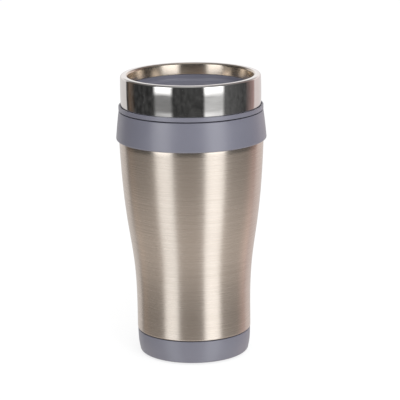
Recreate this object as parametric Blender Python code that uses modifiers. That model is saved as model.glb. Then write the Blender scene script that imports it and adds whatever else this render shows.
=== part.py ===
"""Insulated travel mug: a double-walled steel cup with a plastic collar and base cap, and a press-in
drink-through lid with a polished trim ring and a thumb slider.

Frame: metres, +Z up. The origin is on the floor, on the mug's axis. The drinking side faces -Y.
A profile is a list of (radius, height) points that runs down the outer side of the turned shape.
"""

import math

import bmesh
import bpy
from mathutils import Vector

MM = 0.001

# Driving dimensions
HEIGHT = 170 * MM  # floor to the rim of the closed lid
WAIST_RADIUS = 34.25 * MM  # straight lower part of the shell, slim enough for a car's cup holder
SHOULDER_RADIUS = 43.08 * MM  # widest part of the shell, under the collar
SHOULDER_Z = 131 * MM
WAIST_Z = 27 * MM  # above it the shell starts to widen
STEEL = 0.5 * MM  # sheet thickness
AIR_GAP = 3.2 * MM  # insulating gap between shell and cup
GAP = 0.3 * MM  # clearance between neighbouring pieces
SEGMENTS = 32  # facets of a turned piece
SEAM = 0.5 * MM  # open shadow line between visible pieces

# Base
FOOT_PROUD = 0.6 * MM  # how far the foot ring stands below the base cap
FOOT_INNER = 24.3 * MM
FOOT_OUTER = 28.7 * MM
FOOT_THICKNESS = 1.3 * MM
BASE_TOP = 14.4 * MM  # top edge of the base cap
BASE_FLOOR = 3 * MM  # upper face of the base cap's floor
NECK_RADIUS = 32.1 * MM  # the shell's lower neck, inside the base cap
NECK_BOTTOM = 4.4 * MM

# Mouth of the cup
MOUTH_RADIUS = 41.5 * MM  # the shell's upper neck, inside the collar
MOUTH_TOP = 145 * MM
CUP_NECK = MOUTH_RADIUS - STEEL - GAP  # outside of the inner cup inside that neck
CUP_STEP_Z = 134.2 * MM  # where the inner cup widens to carry the collar's inner skirt
CUP_FLOOR = 18 * MM  # underside of the inner cup
CUP_CORNER = 8 * MM
FLANGE_LIFT = 0.45 * MM  # the cup's rolled rim above the shell's edge

# Collar
COLLAR_TOP = 148.6 * MM
COLLAR_BOTTOM = 131.4 * MM
COLLAR_TOP_RADIUS = 43.05 * MM
COLLAR_RADIUS = 44.88 * MM  # widest part of the whole mug
COLLAR_BORE = 38.6 * MM  # the seat that the lid's gasket presses on
CHANNEL_TOP = 146.3 * MM  # ceiling of the channel over the steel rims
SKIRT_BOTTOM = 136.2 * MM

# Lid
LID_BOTTOM = 133 * MM
FLANGE_BOTTOM = COLLAR_TOP + SEAM
FLANGE_TOP = 151.8 * MM
FLANGE_RADIUS = 43.1 * MM
PLUG_RADIUS = 37.8 * MM
PLUG_BORE = 34.7 * MM
GROOVE_RADIUS = 36.2 * MM
GROOVE_BOTTOM = 139.8 * MM
GROOVE_TOP = 146.2 * MM
DECK_SEAT = 157.4 * MM  # shoulder in the plug that the deck rests on
UPSTAND_INNER = 37.4 * MM
UPSTAND_OUTER = 38.9 * MM
UPSTAND_TOP = 163.8 * MM
RING_RADIUS = 41.85 * MM
RING_INNER = 36.6 * MM  # at the lower edge of its inner wall, which leans outwards
RING_INNER_TOP = 37.5 * MM
RING_FOOT = 151.5 * MM
RING_LIP = 163.3 * MM  # lower edge of the ring's inner wall
DECK_Z = 159.3 * MM  # floor of the drinking recess
DECK_THICKNESS = 2 * MM
DECK_WALL = 35.9 * MM
DECK_WALL_TOP = RING_LIP - GAP

# Slider. Y runs from the drinking side (negative) to the back.
TRAVEL = 13 * MM
TRACK_Z = DECK_Z - 0.8 * MM
TRACK_HALF_WIDTH = 8.5 * MM
TRACK_FRONT = -33.4 * MM
TRACK_CORNER = 4 * MM
SLIDER_FRONT = TRACK_FRONT + 0.4 * MM
SLIDER_BACK = -1.5 * MM
TRACK_BACK = SLIDER_BACK + TRAVEL + 0.5 * MM
SLIDER_BOTTOM = TRACK_Z + 0.5 * MM
SLIDER_TOP = 161 * MM
STEM_Y = -17 * MM
STEM_HALF_X = 2.5 * MM
STEM_HALF_Y = 2 * MM
STEM_BOTTOM = 153.9 * MM
HOLE_Y = -28 * MM
HOLE_HALF_X = 6 * MM
HOLE_HALF_Y = 3 * MM
VENT_Y = 17 * MM
VENT_RADIUS = 1.2 * MM
CLIP_HALF_X = 6 * MM
CLIP_HALF_Y = 4 * MM
CLIP_BOTTOM = 155.4 * MM
CLIP_TOP = 156.9 * MM
RIDGE_HALF_X = 6 * MM
RIDGE_HALF_Y = 2.2 * MM
RIDGE_TOP = 163.3 * MM


def clear_scene():
    for old in list(bpy.data.objects):
        bpy.data.objects.remove(old)


def collection(name):
    made = bpy.data.collections.new(name)
    bpy.context.scene.collection.children.link(made)
    return made


def material(name, colour, roughness, metallic=0.0):
    made = bpy.data.materials.new(name)
    made.use_nodes = True
    shader = made.node_tree.nodes["Principled BSDF"]
    shader.inputs["Base Color"].default_value = (*colour, 1.0)
    shader.inputs["Roughness"].default_value = roughness
    shader.inputs["Metallic"].default_value = metallic
    return made


# Outlines


def fillet(before, corner, after, radius, steps):
    """Points of the arc that rounds a corner of an outline."""
    corner = Vector(corner)
    back = (Vector(before) - corner).normalized()
    forth = (Vector(after) - corner).normalized()
    half_angle = back.angle(forth) / 2
    reach = radius / math.tan(half_angle)
    centre = corner + (back + forth).normalized() * (radius / math.sin(half_angle))
    first = corner + back * reach - centre
    last = corner + forth * reach - centre
    sweep = first.angle_signed(last)
    return [centre + rotated(first, -sweep * i / steps) for i in range(steps + 1)]


def rotated(vector, angle):
    """A 2D vector turned anticlockwise."""
    cosine, sine = math.cos(angle), math.sin(angle)
    return Vector((vector.x * cosine - vector.y * sine, vector.x * sine + vector.y * cosine))


def outline(*corners, closed=False, steps=2):
    """An outline from (x, y) corners; a corner with a third number is rounded to that radius."""
    points = []
    count = len(corners)
    for i, corner in enumerate(corners):
        here = corner[:2]
        if len(corner) == 2:
            points.append(Vector(here))
            continue
        if not closed and i in (0, count - 1):
            raise ValueError("the end of an open outline can't be rounded")
        before, after = corners[i - 1][:2], corners[(i + 1) % count][:2]
        points += fillet(before, here, after, corner[2], steps)
    return points


def bezier(p0, p1, p2, p3, steps):
    """Points along a cubic curve, both ends included."""
    p0, p1, p2, p3 = map(Vector, (p0, p1, p2, p3))
    points = []
    for i in range(steps + 1):
        t = i / steps
        s = 1 - t
        points.append(s**3 * p0 + 3 * s * s * t * p1 + 3 * s * t * t * p2 + t**3 * p3)
    return points


def body_curve(inset, steps):
    """The mug's flowing side, from shoulder to waist, moved inwards by inset."""
    shoulder = SHOULDER_RADIUS - inset
    waist = WAIST_RADIUS - inset
    upper_pull = 63.3 * MM
    lower_pull = 45.2 * MM
    slope_at_shoulder = 0.04
    return bezier(
        (shoulder, SHOULDER_Z),
        (shoulder - slope_at_shoulder * upper_pull, SHOULDER_Z - upper_pull),
        (waist, WAIST_Z + lower_pull),
        (waist, WAIST_Z),
        steps,
    )


# Making objects


def turned(name, profile, look, closed=False, sheet=False):
    """A profile turned about the axis. A sheet is an open surface that gets STEEL of thickness inwards."""
    mesh = bpy.data.meshes.new(name)
    edges = [(i, i + 1) for i in range(len(profile) - 1)]
    if closed:
        edges.append((len(profile) - 1, 0))
    mesh.from_pydata([(x, 0, z) for x, z in profile], edges, [])
    made = place(name, mesh, look)
    screw = made.modifiers.new("Turn", "SCREW")
    screw.steps = screw.render_steps = SEGMENTS
    screw.use_merge_vertices = True
    screw.merge_threshold = 0.00001
    screw.use_smooth_shade = True
    if sheet:
        solidify = made.modifiers.new("Sheet", "SOLIDIFY")
        solidify.thickness = STEEL
        solidify.offset = -1
        solidify.use_even_offset = True
    return made


def place(name, mesh, look):
    """Links a new object into the mug, or among the cutters where it has no look."""
    made = bpy.data.objects.new(name, mesh)
    if look is None:
        made.hide_render = True
        made.display_type = "WIRE"
        CUTTERS.objects.link(made)
    else:
        mesh.materials.append(look)
        MUG.objects.link(made)
    return made


def block(name, half_x, y_range, z_range, corner, look=None, edge=0.0):
    """A block with corners rounded in plan, and its upper edge eased where edge is given."""
    (y0, y1), (z0, z1) = y_range, z_range
    built = bmesh.new()
    bmesh.ops.create_cube(built, size=1)
    size = Vector((2 * half_x, y1 - y0, z1 - z0))
    bmesh.ops.scale(built, vec=size, verts=built.verts)
    bmesh.ops.translate(built, vec=(0, (y0 + y1) / 2, (z0 + z1) / 2), verts=built.verts)
    upright = [e for e in built.edges if abs(e.verts[0].co.z - e.verts[1].co.z) > size.z / 2]
    if corner:
        bmesh.ops.bevel(built, geom=upright, offset=corner, segments=4, profile=0.5, affect="EDGES")
    if edge:
        top = [e for e in built.edges if min(v.co.z for v in e.verts) > z1 - size.z / 10]
        bmesh.ops.bevel(built, geom=top, offset=edge, segments=2, profile=0.5, affect="EDGES")
    mesh = bpy.data.meshes.new(name)
    built.to_mesh(mesh)
    built.free()
    return place(name, mesh, look)


def cylinder_cutter(name, radius, y, z_range):
    z0, z1 = z_range
    built = bmesh.new()
    bmesh.ops.create_cone(
        built, cap_ends=True, segments=12, radius1=radius, radius2=radius, depth=z1 - z0
    )
    bmesh.ops.translate(built, vec=(0, y, (z0 + z1) / 2), verts=built.verts)
    mesh = bpy.data.meshes.new(name)
    built.to_mesh(mesh)
    built.free()
    return place(name, mesh, None)


def combine(target, other, operation):
    boolean = target.modifiers.new(other.name, "BOOLEAN")
    boolean.operation = operation
    boolean.object = other


# The cup


def make_outer_shell():
    """Brushed sheet: a necked mouth, the flowing side, and a necked foot that the base cap covers."""
    mouth_bend = SHOULDER_Z + 5.5 * MM
    mouth = outline(
        (MOUTH_RADIUS, MOUTH_TOP), (MOUTH_RADIUS, mouth_bend, 2 * MM), (SHOULDER_RADIUS, SHOULDER_Z)
    )
    side = body_curve(0, steps=8)
    seam_z = BASE_TOP + SEAM
    foot = outline(
        (WAIST_RADIUS, WAIST_Z),
        (WAIST_RADIUS, seam_z, 0.9 * MM),
        (NECK_RADIUS, seam_z, 0.9 * MM),
        (NECK_RADIUS, NECK_BOTTOM),
    )
    turned("outer_shell", mouth[:-1] + side + foot[1:], BRUSHED, sheet=True)


def make_shell_bottom():
    """Pressed disc with a turned-down flange, welded inside the shell's lower neck."""
    rim = NECK_RADIUS - STEEL - GAP
    low = NECK_BOTTOM + 1.2 * MM
    dome = low + 1.6 * MM
    profile = outline((0, dome), (22 * MM, dome), (26 * MM, low), (rim, low, 0.7 * MM), (rim, NECK_BOTTOM))
    turned("shell_bottom", profile, BRUSHED, sheet=True)


def make_inner_cup():
    """Steel liner: a rim rolled over the shell, a step for the collar's seal, and a rounded floor."""
    inset = STEEL + AIR_GAP
    rim_z = MOUTH_TOP + FLANGE_LIFT
    side = body_curve(inset, steps=7)
    side = [point for point in side if point.y < CUP_STEP_Z - 6 * MM]
    below_step = SHOULDER_RADIUS - inset - 0.2 * MM
    rim = outline(
        (MOUTH_RADIUS, rim_z),
        (CUP_NECK, rim_z, 0.3 * MM),
        (CUP_NECK, CUP_STEP_Z + 0.3 * MM, 0.7 * MM),
        (below_step, CUP_STEP_Z, 0.7 * MM),
        side[0],
        steps=1,
    )
    cup_waist = WAIST_RADIUS - inset
    floor = outline(side[-1], (cup_waist, CUP_FLOOR, CUP_CORNER), (0, CUP_FLOOR))
    turned("inner_cup", rim[:-1] + side + floor[1:], CUP_STEEL, sheet=True)


def make_collar():
    """Plastic ring straddling the two steel rims: flared grip outside, seat for the lid inside."""
    outer_neck = MOUTH_RADIUS + GAP
    inner_neck = CUP_NECK - STEEL - GAP
    under_bulge = SHOULDER_RADIUS + GAP
    profile = outline(
        (COLLAR_BORE, COLLAR_TOP, 0.5 * MM),
        (COLLAR_TOP_RADIUS, COLLAR_TOP, 0.7 * MM),
        (44.15 * MM, 140 * MM),
        (COLLAR_RADIUS, COLLAR_BOTTOM, 0.8 * MM),
        (under_bulge, COLLAR_BOTTOM),
        (under_bulge, COLLAR_BOTTOM + 0.6 * MM),
        (outer_neck, SHOULDER_Z + 7 * MM),
        (outer_neck, CHANNEL_TOP),
        (inner_neck, CHANNEL_TOP),
        (inner_neck, SKIRT_BOTTOM),
        (COLLAR_BORE, SKIRT_BOTTOM),
        closed=True,
    )
    turned("collar", profile, GREY, closed=True)


def make_collar_seal():
    """Flat washer between the collar's inner skirt and the step in the cup."""
    top = SKIRT_BOTTOM - GAP
    bottom = CUP_STEP_Z + STEEL + 2 * GAP
    outer = CUP_NECK - STEEL - 1.2 * GAP
    inner = COLLAR_BORE + 0.4 * MM
    profile = outline((inner, top), (outer, top), (outer, bottom), (inner, bottom), closed=True)
    turned("collar_seal", profile, SILICONE, closed=True)


def make_base_cap():
    """Plastic cup glued over the shell's lower neck, with a groove for the foot ring."""
    bore = NECK_RADIUS + GAP
    groove_top = FOOT_THICKNESS + GAP
    profile = outline(
        (0, BASE_FLOOR),
        (bore, BASE_FLOOR, 0.8 * MM),
        (bore, BASE_TOP),
        (34.08 * MM, BASE_TOP, 0.5 * MM),
        (33.9 * MM, 10 * MM),
        (33.4 * MM, 5 * MM),
        (32.7 * MM, FOOT_PROUD, 1.8 * MM),
        (FOOT_OUTER + GAP, FOOT_PROUD),
        (FOOT_OUTER + GAP, groove_top),
        (FOOT_INNER - GAP, groove_top),
        (FOOT_INNER - GAP, FOOT_PROUD),
        (21 * MM, FOOT_PROUD),
        (20 * MM, 1.4 * MM),
        (0, 1.4 * MM),
    )
    turned("base_cap", profile, GREY)


def make_foot_ring():
    profile = outline(
        (FOOT_INNER, FOOT_THICKNESS),
        (FOOT_OUTER, FOOT_THICKNESS),
        (FOOT_OUTER, 0, 0.4 * MM),
        (FOOT_INNER, 0, 0.4 * MM),
        closed=True,
        steps=1,
    )
    turned("foot_ring", profile, RUBBER, closed=True)


# The lid


def make_lid_gasket():
    """Silicone ring in the plug's groove, with two lips that press on the collar's bore."""
    inner = GROOVE_RADIUS + GAP
    body = inner + 0.9 * MM
    lip = COLLAR_BORE - GAP
    top = GROOVE_TOP - GAP
    bottom = GROOVE_BOTTOM + GAP
    lip_height = 1.8 * MM
    profile = [(inner, top), (body, top)]
    for z in (top - 0.2 * MM, bottom + lip_height + 0.2 * MM):
        lip_top = z - 0.5 * lip_height
        lip_bottom = z - 0.7 * lip_height
        profile += [(body, z), (lip, lip_top), (lip, lip_bottom), (body, z - lip_height)]
    profile += [(body, bottom), (inner, bottom)]
    turned("lid_gasket", profile, SILICONE, closed=True)


def make_lid_plug():
    """Plastic ring: plug that enters the collar, visible flange, and upstand inside the trim ring."""
    slot_inner = RING_RADIUS - STEEL - GAP
    slot_outer = RING_RADIUS + GAP
    slot_bottom = RING_FOOT - GAP
    profile = outline(
        (UPSTAND_INNER, UPSTAND_TOP),
        (UPSTAND_OUTER, UPSTAND_TOP),
        (UPSTAND_OUTER, FLANGE_TOP),
        (slot_inner, FLANGE_TOP),
        (slot_inner, slot_bottom),
        (slot_outer, slot_bottom),
        (slot_outer, FLANGE_TOP),
        (FLANGE_RADIUS, FLANGE_TOP, 0.4 * MM),
        (FLANGE_RADIUS, FLANGE_BOTTOM, 0.4 * MM),
        (PLUG_RADIUS, FLANGE_BOTTOM),
        (PLUG_RADIUS, GROOVE_TOP),
        (GROOVE_RADIUS, GROOVE_TOP),
        (GROOVE_RADIUS, GROOVE_BOTTOM),
        (PLUG_RADIUS, GROOVE_BOTTOM),
        (PLUG_RADIUS, LID_BOTTOM, 0.6 * MM),
        (PLUG_BORE, LID_BOTTOM),
        (PLUG_BORE, DECK_SEAT),
        (UPSTAND_INNER, DECK_SEAT),
        closed=True,
    )
    turned("lid_plug", profile, GREY, closed=True)


def make_lid_ring():
    """Polished trim: an inverted channel from the recess, over the drinking rim, down to the flange."""
    profile = outline(
        (RING_INNER, RING_LIP),
        (RING_INNER_TOP, HEIGHT, 1.4 * MM),
        (RING_RADIUS, HEIGHT, 1.4 * MM),
        (RING_RADIUS, RING_FOOT),
        steps=3,
    )
    turned("lid_ring", profile, POLISHED, sheet=True)


def make_lid_deck():
    """Dished plastic floor of the recess, with the slider's track, the drink hole and a vent."""
    outer = UPSTAND_INNER - GAP
    seat = DECK_SEAT + GAP
    underside = DECK_Z - DECK_THICKNESS
    spigot = PLUG_BORE - GAP
    spigot_bottom = underside - 1.8 * MM
    spigot_inner = spigot - 1.4 * MM
    profile = outline(
        (0, DECK_Z),
        (DECK_WALL, DECK_Z, 1.8 * MM),
        (DECK_WALL, DECK_WALL_TOP),
        (outer, DECK_WALL_TOP),
        (outer, seat),
        (spigot, seat),
        (spigot, spigot_bottom),
        (spigot_inner, spigot_bottom),
        (spigot_inner, underside),
        (0, underside),
    )
    deck = turned("lid_deck", profile, GREY)
    through = (spigot_bottom, SLIDER_TOP)
    hole = (HOLE_Y - HOLE_HALF_Y, HOLE_Y + HOLE_HALF_Y)
    slot_play = 0.3 * MM
    slot = (STEM_Y - STEM_HALF_Y - slot_play, STEM_Y + TRAVEL + STEM_HALF_Y + slot_play)
    track = (TRACK_FRONT, TRACK_BACK)
    cutters = (
        block("track_cutter", TRACK_HALF_WIDTH, track, (TRACK_Z, SLIDER_TOP), TRACK_CORNER),
        block("drink_hole_cutter", HOLE_HALF_X, hole, through, HOLE_HALF_Y * 0.98),
        block("slot_cutter", STEM_HALF_X + slot_play, slot, through, 1 * MM),
        cylinder_cutter("vent_cutter", VENT_RADIUS, VENT_Y, through),
    )
    for cutter in cutters:
        combine(deck, cutter, "DIFFERENCE")


def make_slider():
    """Plate with a thumb ridge above, and a stem below that passes the deck and ends in a wider head."""
    plate_z = (SLIDER_BOTTOM, SLIDER_TOP)
    half_width = TRACK_HALF_WIDTH - 0.4 * MM
    slider = block(
        "slider", half_width, (SLIDER_FRONT, SLIDER_BACK), plate_z, TRACK_CORNER - 0.2 * MM, GREY, 0.5 * MM
    )
    ridge_y = (STEM_Y - RIDGE_HALF_Y, STEM_Y + RIDGE_HALF_Y)
    ridge = block(
        "thumb_ridge", RIDGE_HALF_X, ridge_y, (SLIDER_TOP - 1 * MM, RIDGE_TOP), 1.5 * MM, edge=0.6 * MM
    )
    stem_y = (STEM_Y - STEM_HALF_Y, STEM_Y + STEM_HALF_Y)
    stem = block("stem", STEM_HALF_X, stem_y, (STEM_BOTTOM, SLIDER_BOTTOM + 1 * MM), 0.5 * MM)
    head_z = (STEM_BOTTOM - 0.2 * MM, CLIP_BOTTOM - GAP)
    head = block("stem_head", STEM_HALF_X + 1.5 * MM, stem_y, head_z, 0.8 * MM)
    for addition in (ridge, stem, head):
        combine(slider, addition, "UNION")
    pocket_z = (SLIDER_BOTTOM - 1 * MM, SLIDER_BOTTOM + 0.8 * MM)
    pocket = block("seal_pocket", *seal_plan(GAP), pocket_z, 3 * MM)
    combine(slider, pocket, "DIFFERENCE")


def seal_plan(margin):
    """Half width and Y range of the seal pad over the drink hole, grown by margin."""
    border = 1 * MM + margin
    return HOLE_HALF_X + border, (HOLE_Y - HOLE_HALF_Y - border, HOLE_Y + HOLE_HALF_Y + border)


def make_slider_seal():
    """Silicone pad in the slider's pocket, just proud of its underside."""
    block("slider_seal", *seal_plan(0), (TRACK_Z + GAP, SLIDER_BOTTOM + 0.5 * MM), 3 * MM, SILICONE)


def make_slider_clip():
    """Flat retainer that snaps over the stem's head, under the deck."""
    clip_y = (STEM_Y - CLIP_HALF_Y, STEM_Y + CLIP_HALF_Y)
    clip = block("slider_clip", CLIP_HALF_X, clip_y, (CLIP_BOTTOM, CLIP_TOP), 1.5 * MM, GREY)
    hole_y = (STEM_Y - STEM_HALF_Y - GAP, STEM_Y + STEM_HALF_Y + GAP)
    hole_z = (CLIP_BOTTOM - 1 * MM, CLIP_TOP + 1 * MM)
    hole = block("clip_cutter", STEM_HALF_X + GAP, hole_y, hole_z, 0.5 * MM)
    combine(clip, hole, "DIFFERENCE")


clear_scene()
MUG = collection("insulated_travel_mug")
CUTTERS = collection("cutters")
BRUSHED = material("brushed_steel", (0.46, 0.42, 0.37), 0.32, 1.0)
CUP_STEEL = material("cup_steel", (0.55, 0.53, 0.50), 0.38, 1.0)
POLISHED = material("polished_steel", (0.72, 0.71, 0.69), 0.06, 1.0)
GREY = material("grey_plastic", (0.22, 0.22, 0.27), 0.45)
SILICONE = material("silicone", (0.55, 0.55, 0.57), 0.5)
RUBBER = material("foot_rubber", (0.05, 0.05, 0.055), 0.75)

make_outer_shell()
make_shell_bottom()
make_inner_cup()
make_collar()
make_collar_seal()
make_base_cap()
make_foot_ring()
make_lid_gasket()
make_lid_plug()
make_lid_ring()
make_lid_deck()
make_slider()
make_slider_seal()
make_slider_clip()
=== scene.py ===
"""The looks of an insulated travel mug: smooth turned pieces, metal and plastic finishes, soft studio.

Metres, +Z up, with the mug's axis on Z and its drinking side towards -Y. A profile is a list of
(radius, height) points that runs down the outer side of a turned piece.
"""

import math

import bmesh
import bpy
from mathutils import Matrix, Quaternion, Vector


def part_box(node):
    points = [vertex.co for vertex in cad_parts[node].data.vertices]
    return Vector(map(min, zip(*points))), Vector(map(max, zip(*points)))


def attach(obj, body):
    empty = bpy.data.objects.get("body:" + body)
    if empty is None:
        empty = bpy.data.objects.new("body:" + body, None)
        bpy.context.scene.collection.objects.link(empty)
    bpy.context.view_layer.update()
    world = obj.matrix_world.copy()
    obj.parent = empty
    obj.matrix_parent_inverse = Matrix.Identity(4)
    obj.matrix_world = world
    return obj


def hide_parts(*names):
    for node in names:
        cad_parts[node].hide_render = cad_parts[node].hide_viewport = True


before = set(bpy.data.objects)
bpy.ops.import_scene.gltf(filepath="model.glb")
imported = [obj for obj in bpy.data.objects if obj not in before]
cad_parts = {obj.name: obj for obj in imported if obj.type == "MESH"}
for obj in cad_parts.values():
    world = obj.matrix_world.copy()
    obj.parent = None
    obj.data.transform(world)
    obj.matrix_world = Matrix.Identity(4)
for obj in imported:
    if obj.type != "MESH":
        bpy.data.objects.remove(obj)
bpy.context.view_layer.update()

MM = 0.001
SEGMENTS = 192  # facets of a turned piece
ARC_STEP = math.radians(11)  # facets of a rounded edge
ARC_FACET = 0.9 * MM  # longest facet of a wide arc
CORNER_STEPS = 8  # facets of a corner of a rounded rectangle
EASE_STEPS = 6  # facets of an eased edge
SUPPORT = 0.12 * MM  # distance of the extra loops that keep flat walls flat beside a rounded edge
STEEL = 0.5 * MM  # sheet thickness
SHARP = math.radians(34)  # edges above this angle are shaded sharp


def high(name):
    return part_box(name)[1]


def low(name):
    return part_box(name)[0]


# Outlines


def rotated(vector, angle):
    """A 2D vector turned anticlockwise."""
    cosine, sine = math.cos(angle), math.sin(angle)
    return Vector((vector.x * cosine - vector.y * sine, vector.x * sine + vector.y * cosine))


def fillet(before, corner, after, radius):
    """Points of the arc that rounds a corner of an outline."""
    corner = Vector(corner)
    back = (Vector(before) - corner).normalized()
    forth = (Vector(after) - corner).normalized()
    half_angle = back.angle(forth) / 2
    reach = radius / math.tan(half_angle)
    centre = corner + (back + forth).normalized() * (radius / math.sin(half_angle))
    first = corner + back * reach - centre
    last = corner + forth * reach - centre
    sweep = first.angle_signed(last)
    steps = max(3, round(abs(sweep) / ARC_STEP), round(abs(sweep) * radius / ARC_FACET))
    return [centre + rotated(first, -sweep * i / steps) for i in range(steps + 1)]


def outline(*corners, closed=False):
    """An outline from (x, y) corners; a corner with a third number is rounded to that radius."""
    runs = []
    for i, corner in enumerate(corners):
        here = corner[:2]
        if len(corner) == 2:
            runs.append([Vector(here)])
        else:
            before, after = corners[i - 1][:2], corners[(i + 1) % len(corners)][:2]
            runs.append(fillet(before, here, after, corner[2]))
    points = []
    for run, following in zip(runs, runs[1:]):
        points += run + supports(run[-1], following[0])
    points += runs[-1]
    if closed:
        points += supports(runs[-1][-1], runs[0][0])
    return points


def supports(start, end):
    """A point near both ends of a long straight stretch."""
    along = end - start
    if along.length <= 4 * SUPPORT:
        return []
    step = along.normalized() * SUPPORT
    return [start + step, end - step]


def bezier(p0, p1, p2, p3, steps):
    """Points along a cubic curve, both ends included."""
    p0, p1, p2, p3 = map(Vector, (p0, p1, p2, p3))
    points = []
    for i in range(steps + 1):
        t = i / steps
        s = 1 - t
        points.append(s**3 * p0 + 3 * s * s * t * p1 + 3 * s * t * t * p2 + t**3 * p3)
    return points


def sheet(path, thickness=STEEL):
    """The closed profile of sheet metal: the path, and back along its inner side."""
    inner = []
    for i, point in enumerate(path):
        ahead = path[min(i + 1, len(path) - 1)]
        behind = path[max(i - 1, 0)]
        direction = (ahead - behind).normalized()
        inner.append(point + Vector((direction.y, -direction.x)) * thickness)
    on_axis = path[-1].x < SUPPORT
    if on_axis:
        inner[-1].x = 0
    return path + inner[::-1]


# Pieces


def finish_piece(built, name, body, slot, replaced):
    """Turns a bmesh into a smooth piece that rides on a body and stands for a CAD node."""
    bmesh.ops.recalc_face_normals(built, faces=built.faces)
    mesh = bpy.data.meshes.new(name)
    built.to_mesh(mesh)
    built.free()
    return dress(mesh, name, body, slot, replaced)


def dress(mesh, name, body, slot, replaced):
    mesh.materials.clear()
    mesh.materials.append(LOOKS[slot])
    mesh.shade_smooth()
    mesh.set_sharp_from_angle(angle=SHARP)
    piece = bpy.data.objects.new(name, mesh)
    bpy.context.scene.collection.objects.link(piece)
    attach(piece, body)
    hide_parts(replaced)
    return piece


def turned_mesh(profile, closed=True):
    """A bmesh of the profile turned about the axis. A point on the axis becomes one vertex."""
    built = bmesh.new()
    rings = []
    for radius, z in profile:
        if radius < 0.001 * MM:
            rings.append([built.verts.new((0, 0, z))] * SEGMENTS)
            continue
        angles = (math.tau * i / SEGMENTS for i in range(SEGMENTS))
        rings.append([built.verts.new((radius * math.sin(a), -radius * math.cos(a), z)) for a in angles])
    followers = rings[1:] + rings[:1] if closed else rings[1:]
    for ring, following in zip(rings, followers):
        join(built, ring, following)
    return built


def join(built, ring, following):
    """Faces between two loops with the same number of points."""
    for i, corner in enumerate(ring):
        j = (i + 1) % len(ring)
        corners = dict.fromkeys((corner, following[i], following[j], ring[j]))
        if len(corners) > 2:
            built.faces.new(corners)


def turned(name, profile, body, slot, replaced, closed=True):
    return finish_piece(turned_mesh(profile, closed), name, body, slot, replaced)


def plan(half_x, y0, y1, corner):
    """A rounded rectangle, as a function of how much it is grown."""

    def grown(by):
        x, near, far, radius = half_x + by, y0 - by, y1 + by, corner + by
        right, left, back, front = x - radius, radius - x, far - radius, near + radius
        points = []
        for i, (cx, cy) in enumerate(((right, back), (left, back), (left, front), (right, front))):
            for k in range(CORNER_STEPS + 1):
                angle = math.pi / 2 * (i + k / CORNER_STEPS)
                points.append(Vector((cx + radius * math.cos(angle), cy + radius * math.sin(angle))))
        return points

    return grown


def eased(bottom, top, lower=0.0, upper=0.0):
    """Levels of a stack whose lower and upper edges are rounded: (growth, height), from the top down."""
    angles = [math.pi / 2 * i / EASE_STEPS for i in range(EASE_STEPS + 1)]
    above, below = [(0, top)], [(0, bottom)]
    if upper:
        above = [(upper * (math.sin(a) - 1), top - upper * (1 - math.cos(a))) for a in angles]
    if lower:
        below = [(lower * (math.cos(a) - 1), bottom + lower * (1 - math.sin(a))) for a in angles]
    return above + below


def flared(bottom, top, rim, radius):
    """Levels of a cutter that leaves a rounded rim at height rim."""
    steps = EASE_STEPS - 1
    levels = [(radius, top), (radius, rim + 0.01 * MM)]
    for i in range(steps + 1):
        angle = math.pi / 2 * i / steps
        levels.append((radius * (1 - math.sin(angle)), rim - radius * (1 - math.cos(angle))))
    levels.append((0, bottom))
    return levels


def stack_mesh(shape, levels):
    """A bmesh of one outline stacked at several heights, closed at both ends."""
    built = bmesh.new()
    rings = []
    for growth, z in levels:
        rings.append([built.verts.new((x, y, z)) for x, y in shape(growth)])
    for ring, following in zip(rings, rings[1:]):
        join(built, ring, following)
    built.faces.new(rings[0])
    built.faces.new(rings[-1])
    bmesh.ops.recalc_face_normals(built, faces=built.faces)
    return built


def loose(built, name):
    """A bare object, for a Boolean."""
    bmesh.ops.recalc_face_normals(built, faces=built.faces)
    mesh = bpy.data.meshes.new(name)
    built.to_mesh(mesh)
    built.free()
    made = bpy.data.objects.new(name, mesh)
    bpy.context.scene.collection.objects.link(made)
    return made


def stacked(name, shape, levels):
    return loose(stack_mesh(shape, levels), name)


def combined(base, steps):
    """The mesh of base after Booleans with other objects, all of which are then removed."""
    for other, operation in steps:
        boolean = base.modifiers.new(other.name, "BOOLEAN")
        boolean.operation = operation
        boolean.object = other
    graph = bpy.context.evaluated_depsgraph_get()
    mesh = bpy.data.meshes.new_from_object(base.evaluated_get(graph))
    for used in [base] + [other for other, _ in steps]:
        bpy.data.objects.remove(used)
    return mesh


# Shader nodes


def node(tree, kind, sockets=None, **settings):
    """A new node. A socket's value is a number, a colour or another node's output."""
    made = tree.nodes.new(kind)
    for key, value in settings.items():
        setattr(made, key, value)
    for key, value in (sockets or {}).items():
        if isinstance(value, bpy.types.NodeSocket):
            tree.links.new(value, made.inputs[key])
        else:
            made.inputs[key].default_value = value
    return made


def maths(tree, operation, *values):
    return node(tree, "ShaderNodeMath", dict(enumerate(values)), operation=operation).outputs[0]


def ramp(tree, factor, stops):
    """A colour ramp from (position, colour or grey level) stops."""
    made = node(tree, "ShaderNodeValToRGB", {"Fac": factor})
    elements = made.color_ramp.elements
    while len(elements) < len(stops):
        elements.new(0.5)
    for element, (position, _) in zip(elements, stops):
        element.position = position
    for element, (_, colour) in zip(elements, stops):
        element.color = (*colour, 1) if isinstance(colour, tuple) else (colour, colour, colour, 1)
    return made.outputs["Color"]


def mixed(tree, factor, first, second, blend="MIX"):
    made = node(tree, "ShaderNodeMix", data_type="RGBA", blend_type=blend)
    for index, value in ((0, factor), (6, first), (7, second)):
        if isinstance(value, bpy.types.NodeSocket):
            tree.links.new(value, made.inputs[index])
        else:
            made.inputs[index].default_value = value
    return made.outputs[2]


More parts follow.
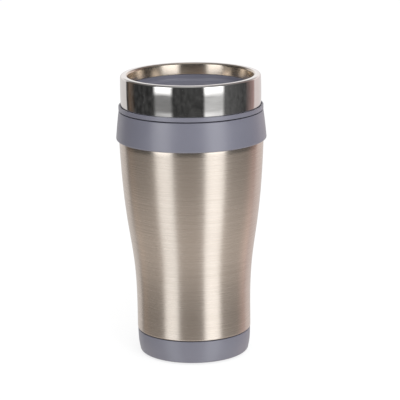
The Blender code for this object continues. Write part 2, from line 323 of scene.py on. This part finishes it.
def noise(tree, scale, detail=3.0, roughness=0.5, offset=0.0):
    """Noise over the object's own space; scale is in cycles a metre along X, Y and Z."""
    place = node(tree, "ShaderNodeTexCoord").outputs["Object"]
    sized = node(tree, "ShaderNodeMapping", {"Vector": place, "Location": (offset,) * 3, "Scale": scale})
    sockets = {"Vector": sized.outputs["Vector"], "Scale": 1.0, "Detail": detail, "Roughness": roughness}
    return node(tree, "ShaderNodeTexNoise", sockets).outputs["Fac"]


def spread(tree, value, low_end, high_end):
    """Noise values near the middle of 0 to 1 stretched to run from low_end to high_end."""
    sockets = {"Value": value, "From Min": 0.3, "From Max": 0.7, "To Min": low_end, "To Max": high_end}
    return node(tree, "ShaderNodeMapRange", sockets).outputs["Result"]


def start_material(name, **values):
    """A Principled material with plain values set on its own sockets."""
    made = bpy.data.materials.new(name)
    made.use_nodes = True
    shader = made.node_tree.nodes["Principled BSDF"]
    for key, value in values.items():
        shader.inputs[key.replace("_", " ")].default_value = value
    return made, made.node_tree, shader


def bump(tree, shader, *layers):
    """Chains bump layers of (height, depth in metres) into the shader's normal."""
    normal = None
    for height, depth in layers:
        sockets = {"Height": height, "Distance": depth, "Strength": 1.0}
        if normal is not None:
            sockets["Normal"] = normal
        normal = node(tree, "ShaderNodeBump", sockets).outputs["Normal"]
    tree.links.new(normal, shader.inputs["Normal"])


def tinted(tree, shader, factor, dark, light):
    colour = mixed(tree, factor, (*dark, 1), (*light, 1))
    tree.links.new(colour, shader.inputs["Base Color"])


# Materials


def brushed_steel():
    """Fine brushing round the body: hairlines, coarser bands, and a little warmth."""
    made, tree, shader = start_material(
        "brushed_steel", Metallic=1.0, Anisotropic=0.75, Anisotropic_Rotation=0.25
    )
    hairs = noise(tree, (30, 30, 5200), detail=2)
    lines = noise(tree, (12, 12, 1500), detail=3, offset=3.1)
    bands = noise(tree, (7, 7, 160), detail=2, offset=7.7)
    tinted(tree, shader, spread(tree, lines, 0.0, 1.0), (0.66, 0.595, 0.53), (0.72, 0.655, 0.59))
    tree.links.new(
        maths(tree, "ADD", spread(tree, hairs, 0.25, 0.33), spread(tree, bands, -0.012, 0.012)),
        shader.inputs["Roughness"],
    )
    bump(tree, shader, (hairs, 0.0025 * MM), (lines, 0.0035 * MM))
    return made


def cup_steel():
    """Satin drawn steel, with faint turning marks and water stains."""
    made, tree, shader = start_material(
        "cup_steel", Metallic=1.0, Anisotropic=0.4, Anisotropic_Rotation=0.25
    )
    marks = noise(tree, (10, 10, 2200), detail=2)
    stains = noise(tree, (60, 60, 60), detail=4, offset=1.3)
    tinted(tree, shader, stains, (0.60, 0.57, 0.53), (0.68, 0.655, 0.62))
    tree.links.new(spread(tree, marks, 0.26, 0.38), shader.inputs["Roughness"])
    bump(tree, shader, (marks, 0.004 * MM))
    return made


def polished_steel():
    """Mirror finish with the slight waviness of pressed sheet. The wall round the recess is only satin, and
    is coloured darker and warmer there as painted shade.
    """
    made, tree, shader = start_material("polished_steel", Metallic=1.0)
    wipes = noise(tree, (90, 90, 700), detail=4, offset=2.2)
    waves = noise(tree, (55, 55, 90), detail=1, offset=5.0)
    place = node(tree, "ShaderNodeTexCoord").outputs["Object"]
    flat = node(tree, "ShaderNodeVectorMath", {0: place, 1: (1, 1, 0)}, operation="MULTIPLY")
    length = node(tree, "ShaderNodeVectorMath", {0: flat.outputs["Vector"]}, operation="LENGTH")
    radius = length.outputs["Value"]
    sockets = {"Value": radius, "From Min": 37.9 * MM, "From Max": 38.7 * MM, "To Min": 1.0, "To Max": 0.0}
    inside = node(tree, "ShaderNodeMapRange", sockets).outputs["Result"]
    outer_colour = mixed(tree, wipes, (0.77, 0.76, 0.745, 1), (0.83, 0.82, 0.81, 1))
    # Painted shade: the wall round the recess gets a darker, warmer colour than the outside of the same
    # steel.
    recess_wall_painted_shade = mixed(tree, wipes, (0.64, 0.56, 0.475, 1), (0.76, 0.685, 0.60, 1))
    tree.links.new(mixed(tree, inside, outer_colour, recess_wall_painted_shade), shader.inputs["Base Color"])
    satin = maths(tree, "MULTIPLY_ADD", inside, 0.14, spread(tree, wipes, 0.03, 0.075))
    tree.links.new(satin, shader.inputs["Roughness"])
    bump(tree, shader, (waves, 0.02 * MM))
    return made


def grey_plastic():
    """Cool grey moulded plastic with a fine satin texture and faint flow marks."""
    made, tree, shader = start_material("grey_plastic", IOR=1.55, Specular_IOR_Level=1.0)
    grain = noise(tree, (2600, 2600, 2600), detail=2)
    flow = noise(tree, (40, 40, 90), detail=3, offset=4.4)
    tinted(tree, shader, flow, (0.156, 0.157, 0.200), (0.170, 0.171, 0.214))
    tree.links.new(spread(tree, flow, 0.30, 0.36), shader.inputs["Roughness"])
    bump(tree, shader, (grain, 0.006 * MM))
    return made


def silicone():
    """Pale grey food silicone, slightly cloudy."""
    made, tree, shader = start_material(
        "silicone", IOR=1.41, Subsurface_Weight=0.25, Subsurface_Scale=0.8 * MM
    )
    cloud = noise(tree, (220, 220, 220), detail=3)
    dust = noise(tree, (3000, 3000, 3000), detail=2, offset=6.0)
    tinted(tree, shader, cloud, (0.50, 0.505, 0.52), (0.58, 0.585, 0.60))
    tree.links.new(spread(tree, dust, 0.42, 0.56), shader.inputs["Roughness"])
    bump(tree, shader, (dust, 0.004 * MM))
    return made


def foot_rubber():
    """Dark matt rubber with fine pores and scuffed high spots."""
    made, tree, shader = start_material("foot_rubber", IOR=1.5)
    pores = noise(tree, (1700, 1700, 1700), detail=3)
    scuffs = noise(tree, (240, 240, 240), detail=4, offset=8.8)
    tinted(tree, shader, scuffs, (0.035, 0.035, 0.038), (0.075, 0.075, 0.08))
    tree.links.new(spread(tree, scuffs, 0.62, 0.80), shader.inputs["Roughness"])
    bump(tree, shader, (pores, 0.015 * MM))
    return made


LOOKS = {
    "brushed_steel": brushed_steel(),
    "cup_steel": cup_steel(),
    "polished_steel": polished_steel(),
    "grey_plastic": grey_plastic(),
    "silicone": silicone(),
    "foot_rubber": foot_rubber(),
}


# The cup

WAIST_RADIUS = 34.25 * MM
WAIST_Z = 27 * MM
SHOULDER_RADIUS = high("outer_shell").x
SHOULDER_Z = 131 * MM
AIR_GAP = 3.2 * MM
GAP = 0.3 * MM
NECK_RADIUS = 32.1 * MM
MOUTH_RADIUS = 41.5 * MM
CUP_NECK = MOUTH_RADIUS - STEEL - GAP
BASE_TOP = high("base_cap").z
BASE_RADIUS = high("base_cap").x


def body_curve(inset, steps):
    """The mug's flowing side, from shoulder to waist, moved inwards by inset."""
    shoulder = SHOULDER_RADIUS - inset
    waist = WAIST_RADIUS - inset
    upper_pull = 63.3 * MM
    lower_pull = 45.2 * MM
    slope_at_shoulder = 0.04
    return bezier(
        (shoulder, SHOULDER_Z),
        (shoulder - slope_at_shoulder * upper_pull, SHOULDER_Z - upper_pull),
        (waist, WAIST_Z + lower_pull),
        (waist, WAIST_Z),
        steps,
    )


def make_body_shell():
    mouth = outline(
        (MOUTH_RADIUS, high("outer_shell").z),
        (MOUTH_RADIUS, SHOULDER_Z + 5.5 * MM, 2 * MM),
        (SHOULDER_RADIUS, SHOULDER_Z),
    )
    seam_z = BASE_TOP + 0.45 * MM
    foot = outline(
        (WAIST_RADIUS, WAIST_Z),
        (WAIST_RADIUS, seam_z, 0.7 * MM),
        (NECK_RADIUS, seam_z, 0.9 * MM),
        (NECK_RADIUS, low("outer_shell").z),
    )
    path = mouth[:-1] + body_curve(0, 60) + foot[1:]
    turned("body_shell", sheet(path), "cup", "brushed_steel", "outer_shell")


def make_cup_liner():
    inset = STEEL + AIR_GAP
    step_z = 134.2 * MM
    side = [p for p in body_curve(inset, 40) if p.y < step_z - 6 * MM]
    rim = outline(
        (MOUTH_RADIUS, high("inner_cup").z),
        (CUP_NECK, high("inner_cup").z, 0.3 * MM),
        (CUP_NECK, step_z + GAP, 0.7 * MM),
        (SHOULDER_RADIUS - inset - 0.2 * MM, step_z, 0.7 * MM),
        tuple(side[0]),
    )
    floor_z = low("inner_cup").z
    floor = outline(tuple(side[-1]), (WAIST_RADIUS - inset, floor_z, 8 * MM), (0, floor_z))
    turned("cup_liner", sheet(rim[:-1] + side + floor[1:]), "cup", "cup_steel", "inner_cup", closed=False)


def make_collar():
    """A flared grip that hangs over the shoulder, straddles the steel rims and seats the lid."""
    bore = 38.6 * MM
    skirt_bottom, channel_top = 136.2 * MM, 146.3 * MM
    outer_neck = MOUTH_RADIUS + GAP
    inner_neck = CUP_NECK - STEEL - GAP
    under_edge = SHOULDER_RADIUS + GAP
    bottom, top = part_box("collar")
    profile = outline(
        (bore, top.z, 0.5 * MM),
        (43.05 * MM, top.z, 0.4 * MM),
        (44.15 * MM, 140 * MM, 300 * MM),
        (44.88 * MM, bottom.z, 0.8 * MM),
        (under_edge, bottom.z, 0.2 * MM),
        (under_edge, bottom.z + 0.6 * MM),
        (outer_neck, SHOULDER_Z + 7 * MM),
        (outer_neck, channel_top),
        (inner_neck, channel_top),
        (inner_neck, skirt_bottom),
        (bore, skirt_bottom, 0.4 * MM),
        closed=True,
    )
    turned("collar_grip", profile, "cup", "grey_plastic", "collar")


def make_collar_seal():
    bottom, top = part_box("collar_seal")
    inner = 39 * MM
    edge = 0.15 * MM
    profile = outline(
        (inner, top.z, edge),
        (top.x, top.z, edge),
        (top.x, bottom.z, edge),
        (inner, bottom.z, edge),
        closed=True,
    )
    turned("collar_washer", profile, "cup", "silicone", "collar_seal")


def make_base_cap():
    bottom = low("base_cap").z
    bore = NECK_RADIUS + GAP
    foot_low, foot_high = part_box("foot_ring")
    groove_outer = foot_high.x + 0.2 * MM
    groove_inner = 24.1 * MM
    groove_top = foot_high.z + 0.2 * MM
    panel_z, dimple_z = 1.4 * MM, 1.1 * MM
    flank = bezier(
        (BASE_RADIUS, BASE_TOP),
        (BASE_RADIUS - 0.1 * MM, 10 * MM),
        (33.8 * MM, 6 * MM),
        (33.05 * MM, 3.2 * MM),
        16,
    )
    edge = fillet(flank[1], (BASE_RADIUS, BASE_TOP), (bore, BASE_TOP), 0.45 * MM)[::-1]
    flank = [p for p in flank if p.y < edge[-1].y - SUPPORT]
    under = outline(
        tuple(flank[-1]),
        (32.6 * MM, bottom, 1.7 * MM),
        (groove_outer, bottom, 0.2 * MM),
        (groove_outer, groove_top),
        (groove_inner, groove_top),
        (groove_inner, bottom, 0.2 * MM),
        (21 * MM, bottom, 0.5 * MM),
        (20 * MM, panel_z, 0.5 * MM),
        (3.2 * MM, panel_z, 0.3 * MM),
        (2.6 * MM, dimple_z, 0.2 * MM),
        (0, dimple_z),
    )
    floor_z = 3 * MM
    inside = outline(
        (0, floor_z), (bore, floor_z, 0.8 * MM), (bore, BASE_TOP, 0.2 * MM), tuple(edge[0])
    )
    profile = inside[:-1] + edge + flank[:-1] + under
    turned("base_cup", profile, "cup", "grey_plastic", "base_cap", closed=False)


def make_foot_ring():
    bottom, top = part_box("foot_ring")
    inner = 24.3 * MM
    upper_edge, lower_edge = 0.2 * MM, 0.4 * MM
    profile = outline(
        (inner, top.z, upper_edge),
        (top.x, top.z, upper_edge),
        (top.x, bottom.z, lower_edge),
        (inner, bottom.z, lower_edge),
        closed=True,
    )
    turned("foot_pad", profile, "cup", "foot_rubber", "foot_ring")


# The lid

RING_INNER = 36.6 * MM
RING_LIP = 163.3 * MM
RING_FOOT = low("lid_ring").z
RING_RADIUS = high("lid_ring").x
RIM_Z = high("lid_ring").z
FLANGE_TOP = 151.8 * MM
DECK_Z = 159.3 * MM
TRACK_Z = DECK_Z - 0.8 * MM
DECK_WALL = 35.9 * MM


def make_gasket():
    bottom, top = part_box("lid_gasket")
    inner = 36.5 * MM
    core = inner + 0.9 * MM
    lip = top.x
    lip_height = 1.8 * MM
    corners = [(inner, top.z, 0.15 * MM), (core, top.z, 0.2 * MM)]
    for z in (top.z - 0.2 * MM, bottom.z + lip_height + 0.2 * MM):
        corners += [
            (core, z, 0.05 * MM),
            (lip, z - 0.5 * lip_height, 0.15 * MM),
            (lip, z - 0.7 * lip_height, 0.1 * MM),
            (core, z - lip_height, 0.05 * MM),
        ]
    corners += [(core, bottom.z, 0.1 * MM), (inner, bottom.z, 0.15 * MM)]
    profile = outline(*corners, closed=True)
    turned("lid_gasket_ring", profile, "lid_seal", "silicone", "lid_gasket")


def make_lid_body():
    bottom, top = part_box("lid_plug")
    flange = top.x
    flange_bottom = 149.25 * MM
    plug = 37.8 * MM
    bore = 34.7 * MM
    groove = 36.2 * MM
    groove_bottom, groove_top = 139.8 * MM, 146.2 * MM
    deck_seat = 157.4 * MM
    upstand_inner, upstand_outer = 37.4 * MM, 38.9 * MM
    slot_inner, slot_outer = RING_RADIUS - STEEL - GAP, RING_RADIUS + GAP
    slot_z = RING_FOOT - GAP
    profile = outline(
        (upstand_inner, top.z, 0.3 * MM),
        (upstand_outer, top.z, 0.3 * MM),
        (upstand_outer, FLANGE_TOP),
        (slot_inner, FLANGE_TOP),
        (slot_inner, slot_z),
        (slot_outer, slot_z),
        (slot_outer, FLANGE_TOP, 0.12 * MM),
        (flange, FLANGE_TOP, 0.45 * MM),
        (flange, flange_bottom, 0.15 * MM),
        (plug, flange_bottom, 0.3 * MM),
        (plug, groove_top, 0.15 * MM),
        (groove, groove_top),
        (groove, groove_bottom),
        (plug, groove_bottom, 0.2 * MM),
        (plug, bottom.z, 0.7 * MM),
        (bore, bottom.z, 0.5 * MM),
        (bore, deck_seat),
        (upstand_inner, deck_seat),
        closed=True,
    )
    turned("lid_body", profile, "lid", "grey_plastic", "lid_plug")


def make_trim_ring():
    """Over the rim and down both sides. The outer wall is very slightly barrelled, as pressed rings are."""
    edge_radius = RING_RADIUS - 0.14 * MM
    inner_corner, outer_corner = 1.4 * MM, 1.3 * MM
    path = outline(
        (RING_INNER, RING_LIP),
        (37.5 * MM, RIM_Z, inner_corner),
        (edge_radius, RIM_Z, outer_corner),
        (RING_RADIUS + 0.13 * MM, 160 * MM, 215 * MM),
        (edge_radius, RING_FOOT),
    )
    turned("trim_ring", sheet(path), "lid", "polished_steel", "lid_ring")


def make_deck():
    outer = 37.1 * MM
    seat = 157.7 * MM
    underside = 157.3 * MM
    spigot = 34.4 * MM
    spigot_inner = spigot - 1.4 * MM
    spigot_bottom = low("lid_deck").z
    wall_top = high("lid_deck").z
    profile = outline(
        (0, DECK_Z),
        (DECK_WALL, DECK_Z, 1.8 * MM),
        (DECK_WALL, wall_top, 0.2 * MM),
        (outer, wall_top, 0.2 * MM),
        (outer, seat),
        (spigot, seat),
        (spigot, spigot_bottom, 0.3 * MM),
        (spigot_inner, spigot_bottom, 0.3 * MM),
        (spigot_inner, underside, 0.4 * MM),
        (0, underside),
    )
    deck = loose(turned_mesh(profile, closed=False), "deck")
    above, below = 161 * MM, spigot_bottom
    track = plan(8.5 * MM, -33.4 * MM, 12 * MM, 4 * MM)
    hole = plan(6 * MM, -31 * MM, -25 * MM, 2.94 * MM)
    slot = plan(2.8 * MM, -19.3 * MM, -1.7 * MM, 1 * MM)
    vent = plan(1.2 * MM, 15.8 * MM, 18.2 * MM, 1.19 * MM)
    cutters = (
        stacked("track", track, flared(TRACK_Z, above, DECK_Z, 0.3 * MM)),
        stacked("hole", hole, flared(below, above, TRACK_Z, 0.3 * MM)),
        stacked("slot", slot, flared(below, above, TRACK_Z, 0.15 * MM)),
        stacked("vent", vent, flared(below, above, DECK_Z, 0.3 * MM)),
    )
    mesh = combined(deck, [(cutter, "DIFFERENCE") for cutter in cutters])
    dress(mesh, "recess_deck", "lid", "grey_plastic", "lid_deck")


# The slider

STEM_Y = -17 * MM


def make_slider():
    bottom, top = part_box("slider")
    plate_bottom = TRACK_Z + 0.5 * MM
    plate_top = 161 * MM
    stem_bottom, head_top = 153.9 * MM, 155.1 * MM
    stem_half = 2 * MM
    head_half = stem_half + 0.01 * MM
    outer = plan(top.x, bottom.y, top.y, 3.8 * MM)
    plate = stacked("plate", outer, eased(plate_bottom, plate_top, 0.2 * MM, 0.7 * MM))
    ridge = plan(6 * MM, STEM_Y - 2.2 * MM, STEM_Y + 2.2 * MM, 2.1 * MM)
    additions = [stacked("ridge", ridge, eased(plate_top - 1 * MM, top.z, 0, 1.6 * MM))]
    rib_levels = eased(plate_top - 0.6 * MM, plate_top + 0.5 * MM, 0, 0.45 * MM)
    for y in (-11.5 * MM, -8.5 * MM, -5.5 * MM):
        rib = plan(4.5 * MM, y - 0.6 * MM, y + 0.6 * MM, 0.58 * MM)
        additions.append(stacked("rib", rib, rib_levels))
    stem = plan(2.5 * MM, STEM_Y - stem_half, STEM_Y + stem_half, 0.5 * MM)
    additions.append(stacked("stem", stem, eased(stem_bottom, plate_bottom + 1 * MM)))
    head = plan(4 * MM, STEM_Y - head_half, STEM_Y + head_half, 0.8 * MM)
    additions.append(stacked("head", head, eased(bottom.z, head_top, 0.5 * MM, 0.2 * MM)))
    pocket_levels = eased(plate_bottom - 1 * MM, plate_bottom + 0.8 * MM)
    pocket = stacked("pocket", seal_plan(GAP), pocket_levels)
    steps = [(added, "UNION") for added in additions] + [(pocket, "DIFFERENCE")]
    dress(combined(plate, steps), "thumb_slider", "slider", "grey_plastic", "slider")


def seal_plan(margin):
    """The seal pad's outline over the drink hole, grown by margin."""
    near, far = low("slider_seal"), high("slider_seal")
    return plan(far.x + margin, near.y - margin, far.y + margin, 3 * MM)


def make_slider_seal():
    bottom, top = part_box("slider_seal")
    built = stack_mesh(seal_plan(0), eased(bottom.z, top.z, 0.25 * MM, 0.1 * MM))
    finish_piece(built, "seal_pad", "slider", "silicone", "slider_seal")


def make_slider_clip():
    bottom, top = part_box("slider_clip")
    outer = plan(top.x, bottom.y, top.y, 1.5 * MM)
    plate = stacked("clip", outer, eased(bottom.z, top.z, 0.3 * MM, 0.3 * MM))
    hole = plan(2.8 * MM, STEM_Y - 2.3 * MM, STEM_Y + 2.3 * MM, 0.5 * MM)
    cutter = stacked("clip_hole", hole, eased(bottom.z - 1 * MM, top.z + 1 * MM))
    mesh = combined(plate, [(cutter, "DIFFERENCE")])
    dress(mesh, "retainer_clip", "slider", "grey_plastic", "slider_clip")


def finish_shell_bottom():
    """The hidden disc stays as it is, with the liner's steel."""
    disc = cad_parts["shell_bottom"]
    disc.data.materials.clear()
    disc.data.materials.append(LOOKS["cup_steel"])


# The studio


def make_camera():
    """A long lens a little over a metre away, looking slightly down, with the photographer's small tilt."""
    lens = bpy.data.cameras.new("camera")
    lens.lens = 189
    lens.sensor_width = 36
    camera = bpy.data.objects.new("camera", lens)
    bpy.context.scene.collection.objects.link(camera)
    bpy.context.scene.camera = camera
    pitch, yaw, roll = math.radians(13.596), math.radians(0.2154), math.radians(-0.81)
    forward = Vector((math.sin(yaw) * math.cos(pitch), math.cos(yaw) * math.cos(pitch), -math.sin(pitch)))
    camera.rotation_mode = "QUATERNION"
    camera.rotation_quaternion = forward.to_track_quat("-Z", "Y") @ Quaternion((0, 0, 1), roll)
    camera.location = (0, -1.226, 0.3895)


def make_floor():
    """A pale disc that lights up softly by itself, so that the shadow under the mug stays faint."""
    built = bmesh.new()
    bmesh.ops.create_circle(built, cap_ends=True, segments=96, radius=4)
    mesh = bpy.data.meshes.new("floor")
    built.to_mesh(mesh)
    built.free()
    floor = bpy.data.objects.new("floor", mesh)
    floor.location.z = -0.0002
    bpy.context.scene.collection.objects.link(floor)
    made, _, shader = start_material("floor", Roughness=0.9)
    shader.inputs["Base Color"].default_value = (0.3, 0.3, 0.3, 1)
    shader.inputs["Specular IOR Level"].default_value = 0
    shader.inputs["Emission Color"].default_value = (1, 1, 1, 1)
    shader.inputs["Emission Strength"].default_value = 0.75
    mesh.materials.append(made)
    floor.visible_glossy = False


def make_soft_box():
    """Diffuse light from the front and above, near enough to fall off a little towards the base."""
    lamp = bpy.data.lights.new("soft_box", "AREA")
    lamp.size = 0.45
    lamp.energy = 2.2
    box = bpy.data.objects.new("soft_box", lamp)
    bpy.context.scene.collection.objects.link(box)
    box.location = (0.18, -0.55, 0.48)
    aim = Vector((0, 0, 0.12))
    box.rotation_mode = "QUATERNION"
    box.rotation_quaternion = (aim - box.location).to_track_quat("-Z", "Y")
    box.visible_glossy = False
    box.visible_camera = False


def turn(azimuth):
    """Ramp position of an azimuth in degrees: 0 is towards -Y and 90 towards +X."""
    return azimuth / 360 + 0.5


def rise(elevation):
    """Ramp position of an elevation in degrees."""
    return elevation / 180 + 0.5


def by_height(tree, upward, *stops):
    """Brightness by elevation, from (degrees, colour or grey level) stops."""
    return ramp(tree, upward, [(rise(elevation), level) for elevation, level in stops])


def by_azimuth(tree, around, *stops):
    """Brightness by azimuth, from (degrees, colour or grey level) stops."""
    return ramp(tree, around, [(turn(azimuth), level) for azimuth, level in stops])


def dapple(tree, direction, scale, low_end, high_end):
    """Noise over directions, as a factor for the brightness of what metal reflects."""
    sized = node(tree, "ShaderNodeMapping", {"Vector": direction, "Scale": scale}).outputs["Vector"]
    value = node(tree, "ShaderNodeTexNoise", {"Vector": sized, "Scale": 1.0, "Detail": 3.0}).outputs["Fac"]
    return spread(tree, value, low_end, high_end)


def make_world():
    """White to the eye and softly even on plastic.

    Metal sees a pale table, a dark room with a soft ceiling, two light panels that stand on dim
    plinths, and a white sweep behind.
    """
    world = bpy.data.worlds.new("studio")
    bpy.context.scene.world = world
    world.use_nodes = True
    world.cycles.sampling_method = "NONE"
    tree = world.node_tree
    tree.nodes.clear()
    direction = node(tree, "ShaderNodeTexCoord").outputs["Generated"]
    split = node(tree, "ShaderNodeSeparateXYZ", {"Vector": direction})
    x, y, z = split.outputs
    azimuth = maths(tree, "ARCTAN2", x, maths(tree, "MULTIPLY", y, -1.0))
    around = maths(tree, "ADD", maths(tree, "DIVIDE", azimuth, math.tau), 0.5)
    upward = maths(tree, "ADD", maths(tree, "DIVIDE", maths(tree, "ARCSINE", z), math.pi), 0.5)

    level_view = by_height(tree, upward, (-20, 0), (-16.5, 1), (-2, 1), (4, 0))
    grain = mixed(tree, level_view, (1, 1, 1, 1), dapple(tree, direction, (9, 9, 42), 0.4, 1.6))
    streaks = mixed(tree, level_view, (1, 1, 1, 1), dapple(tree, direction, (3, 3, 110), 0.88, 1.12))
    room = by_height(
        tree, upward,
        (-70, (0.33, 0.30, 0.277)), (-35, (0.275, 0.25, 0.23)), (-20, (0.33, 0.30, 0.277)),
        (-16, 0.02), (20, 0.02), (64, 0.12), (90, 0.45),
    )
    left_panel = by_height(
        tree, upward,
        (-70, 0.5), (-16, 0.65), (-14, 0.12), (-9, 0.12), (-7.5, 1.0), (26, 1.0), (34, 0.05),
        (64, 0.12), (90, 0.45),
    )
    right_panel = by_height(
        tree, upward,
        (-70, 0.55), (-16, 0.8), (-14, 0.29), (-9, 0.29), (-7.5, 1.0), (26, 1.0), (34, 0.05),
        (64, 0.12), (90, 0.45),
    )
    sweep = by_height(
        tree, upward,
        (-90, 0.2), (0, 0.4), (14, 0.5), (35, 0.08), (64, 0.12), (90, 0.45),
    )
    is_left_panel = by_azimuth(tree, around, (-64, 0), (-58, 1), (-34, 1), (-29, 0))
    is_right_panel = by_azimuth(tree, around, (20, 0), (24, 1), (52, 1), (57, 0))
    is_sweep = by_azimuth(tree, around, (-131, 1), (-128, 0), (124, 0), (129, 1))
    tint = by_azimuth(
        tree, around,
        (-128, 0), (-118, (0.055, 0.035, 0.022)), (-103, 0), (20, 0.01), (57, 0.04), (100, 0.01),
        (128, (0.2, 0.13, 0.12)),
    )
    studio = mixed(tree, 1.0, mixed(tree, 1.0, room, grain, "MULTIPLY"), tint, "ADD")
    studio = mixed(tree, is_left_panel, studio, mixed(tree, 1.0, left_panel, streaks, "MULTIPLY"))
    studio = mixed(tree, is_right_panel, studio, mixed(tree, 1.0, right_panel, streaks, "MULTIPLY"))
    blush = by_azimuth(
        tree, around,
        (-180, (1, 0.97, 0.96)), (-140, (0.93, 0.89, 0.875)), (140, (1, 0.88, 0.86)),
        (180, (1, 0.97, 0.96)),
    )
    studio = mixed(tree, is_sweep, studio, mixed(tree, 1.0, sweep, blush, "MULTIPLY"))
    strength = 2.0
    studio = mixed(tree, 1.0, studio, (strength, strength, strength, 1), "MULTIPLY")

    top_light = maths(tree, "MULTIPLY_ADD", z, 0.42, 0.60)
    side_light = maths(tree, "MULTIPLY_ADD", x, 0.12, top_light)
    channels = {"Red": side_light, "Green": side_light, "Blue": side_light}
    soft = node(tree, "ShaderNodeCombineColor", channels).outputs[0]
    path = node(tree, "ShaderNodeLightPath")
    light = mixed(tree, path.outputs["Is Diffuse Ray"], studio, soft)
    light = mixed(tree, path.outputs["Is Camera Ray"], light, (1, 1, 1, 1))
    background = node(tree, "ShaderNodeBackground", {"Color": light, "Strength": 1.0})
    node(tree, "ShaderNodeOutputWorld", {"Surface": background.outputs[0]})


make_body_shell()
make_cup_liner()
make_collar()
make_collar_seal()
make_base_cap()
make_foot_ring()
make_gasket()
make_lid_body()
make_trim_ring()
make_deck()
make_slider()
make_slider_seal()
make_slider_clip()
finish_shell_bottom()
make_floor()
make_soft_box()
make_world()
make_camera()
bpy.context.scene.view_settings.view_transform = "Standard"
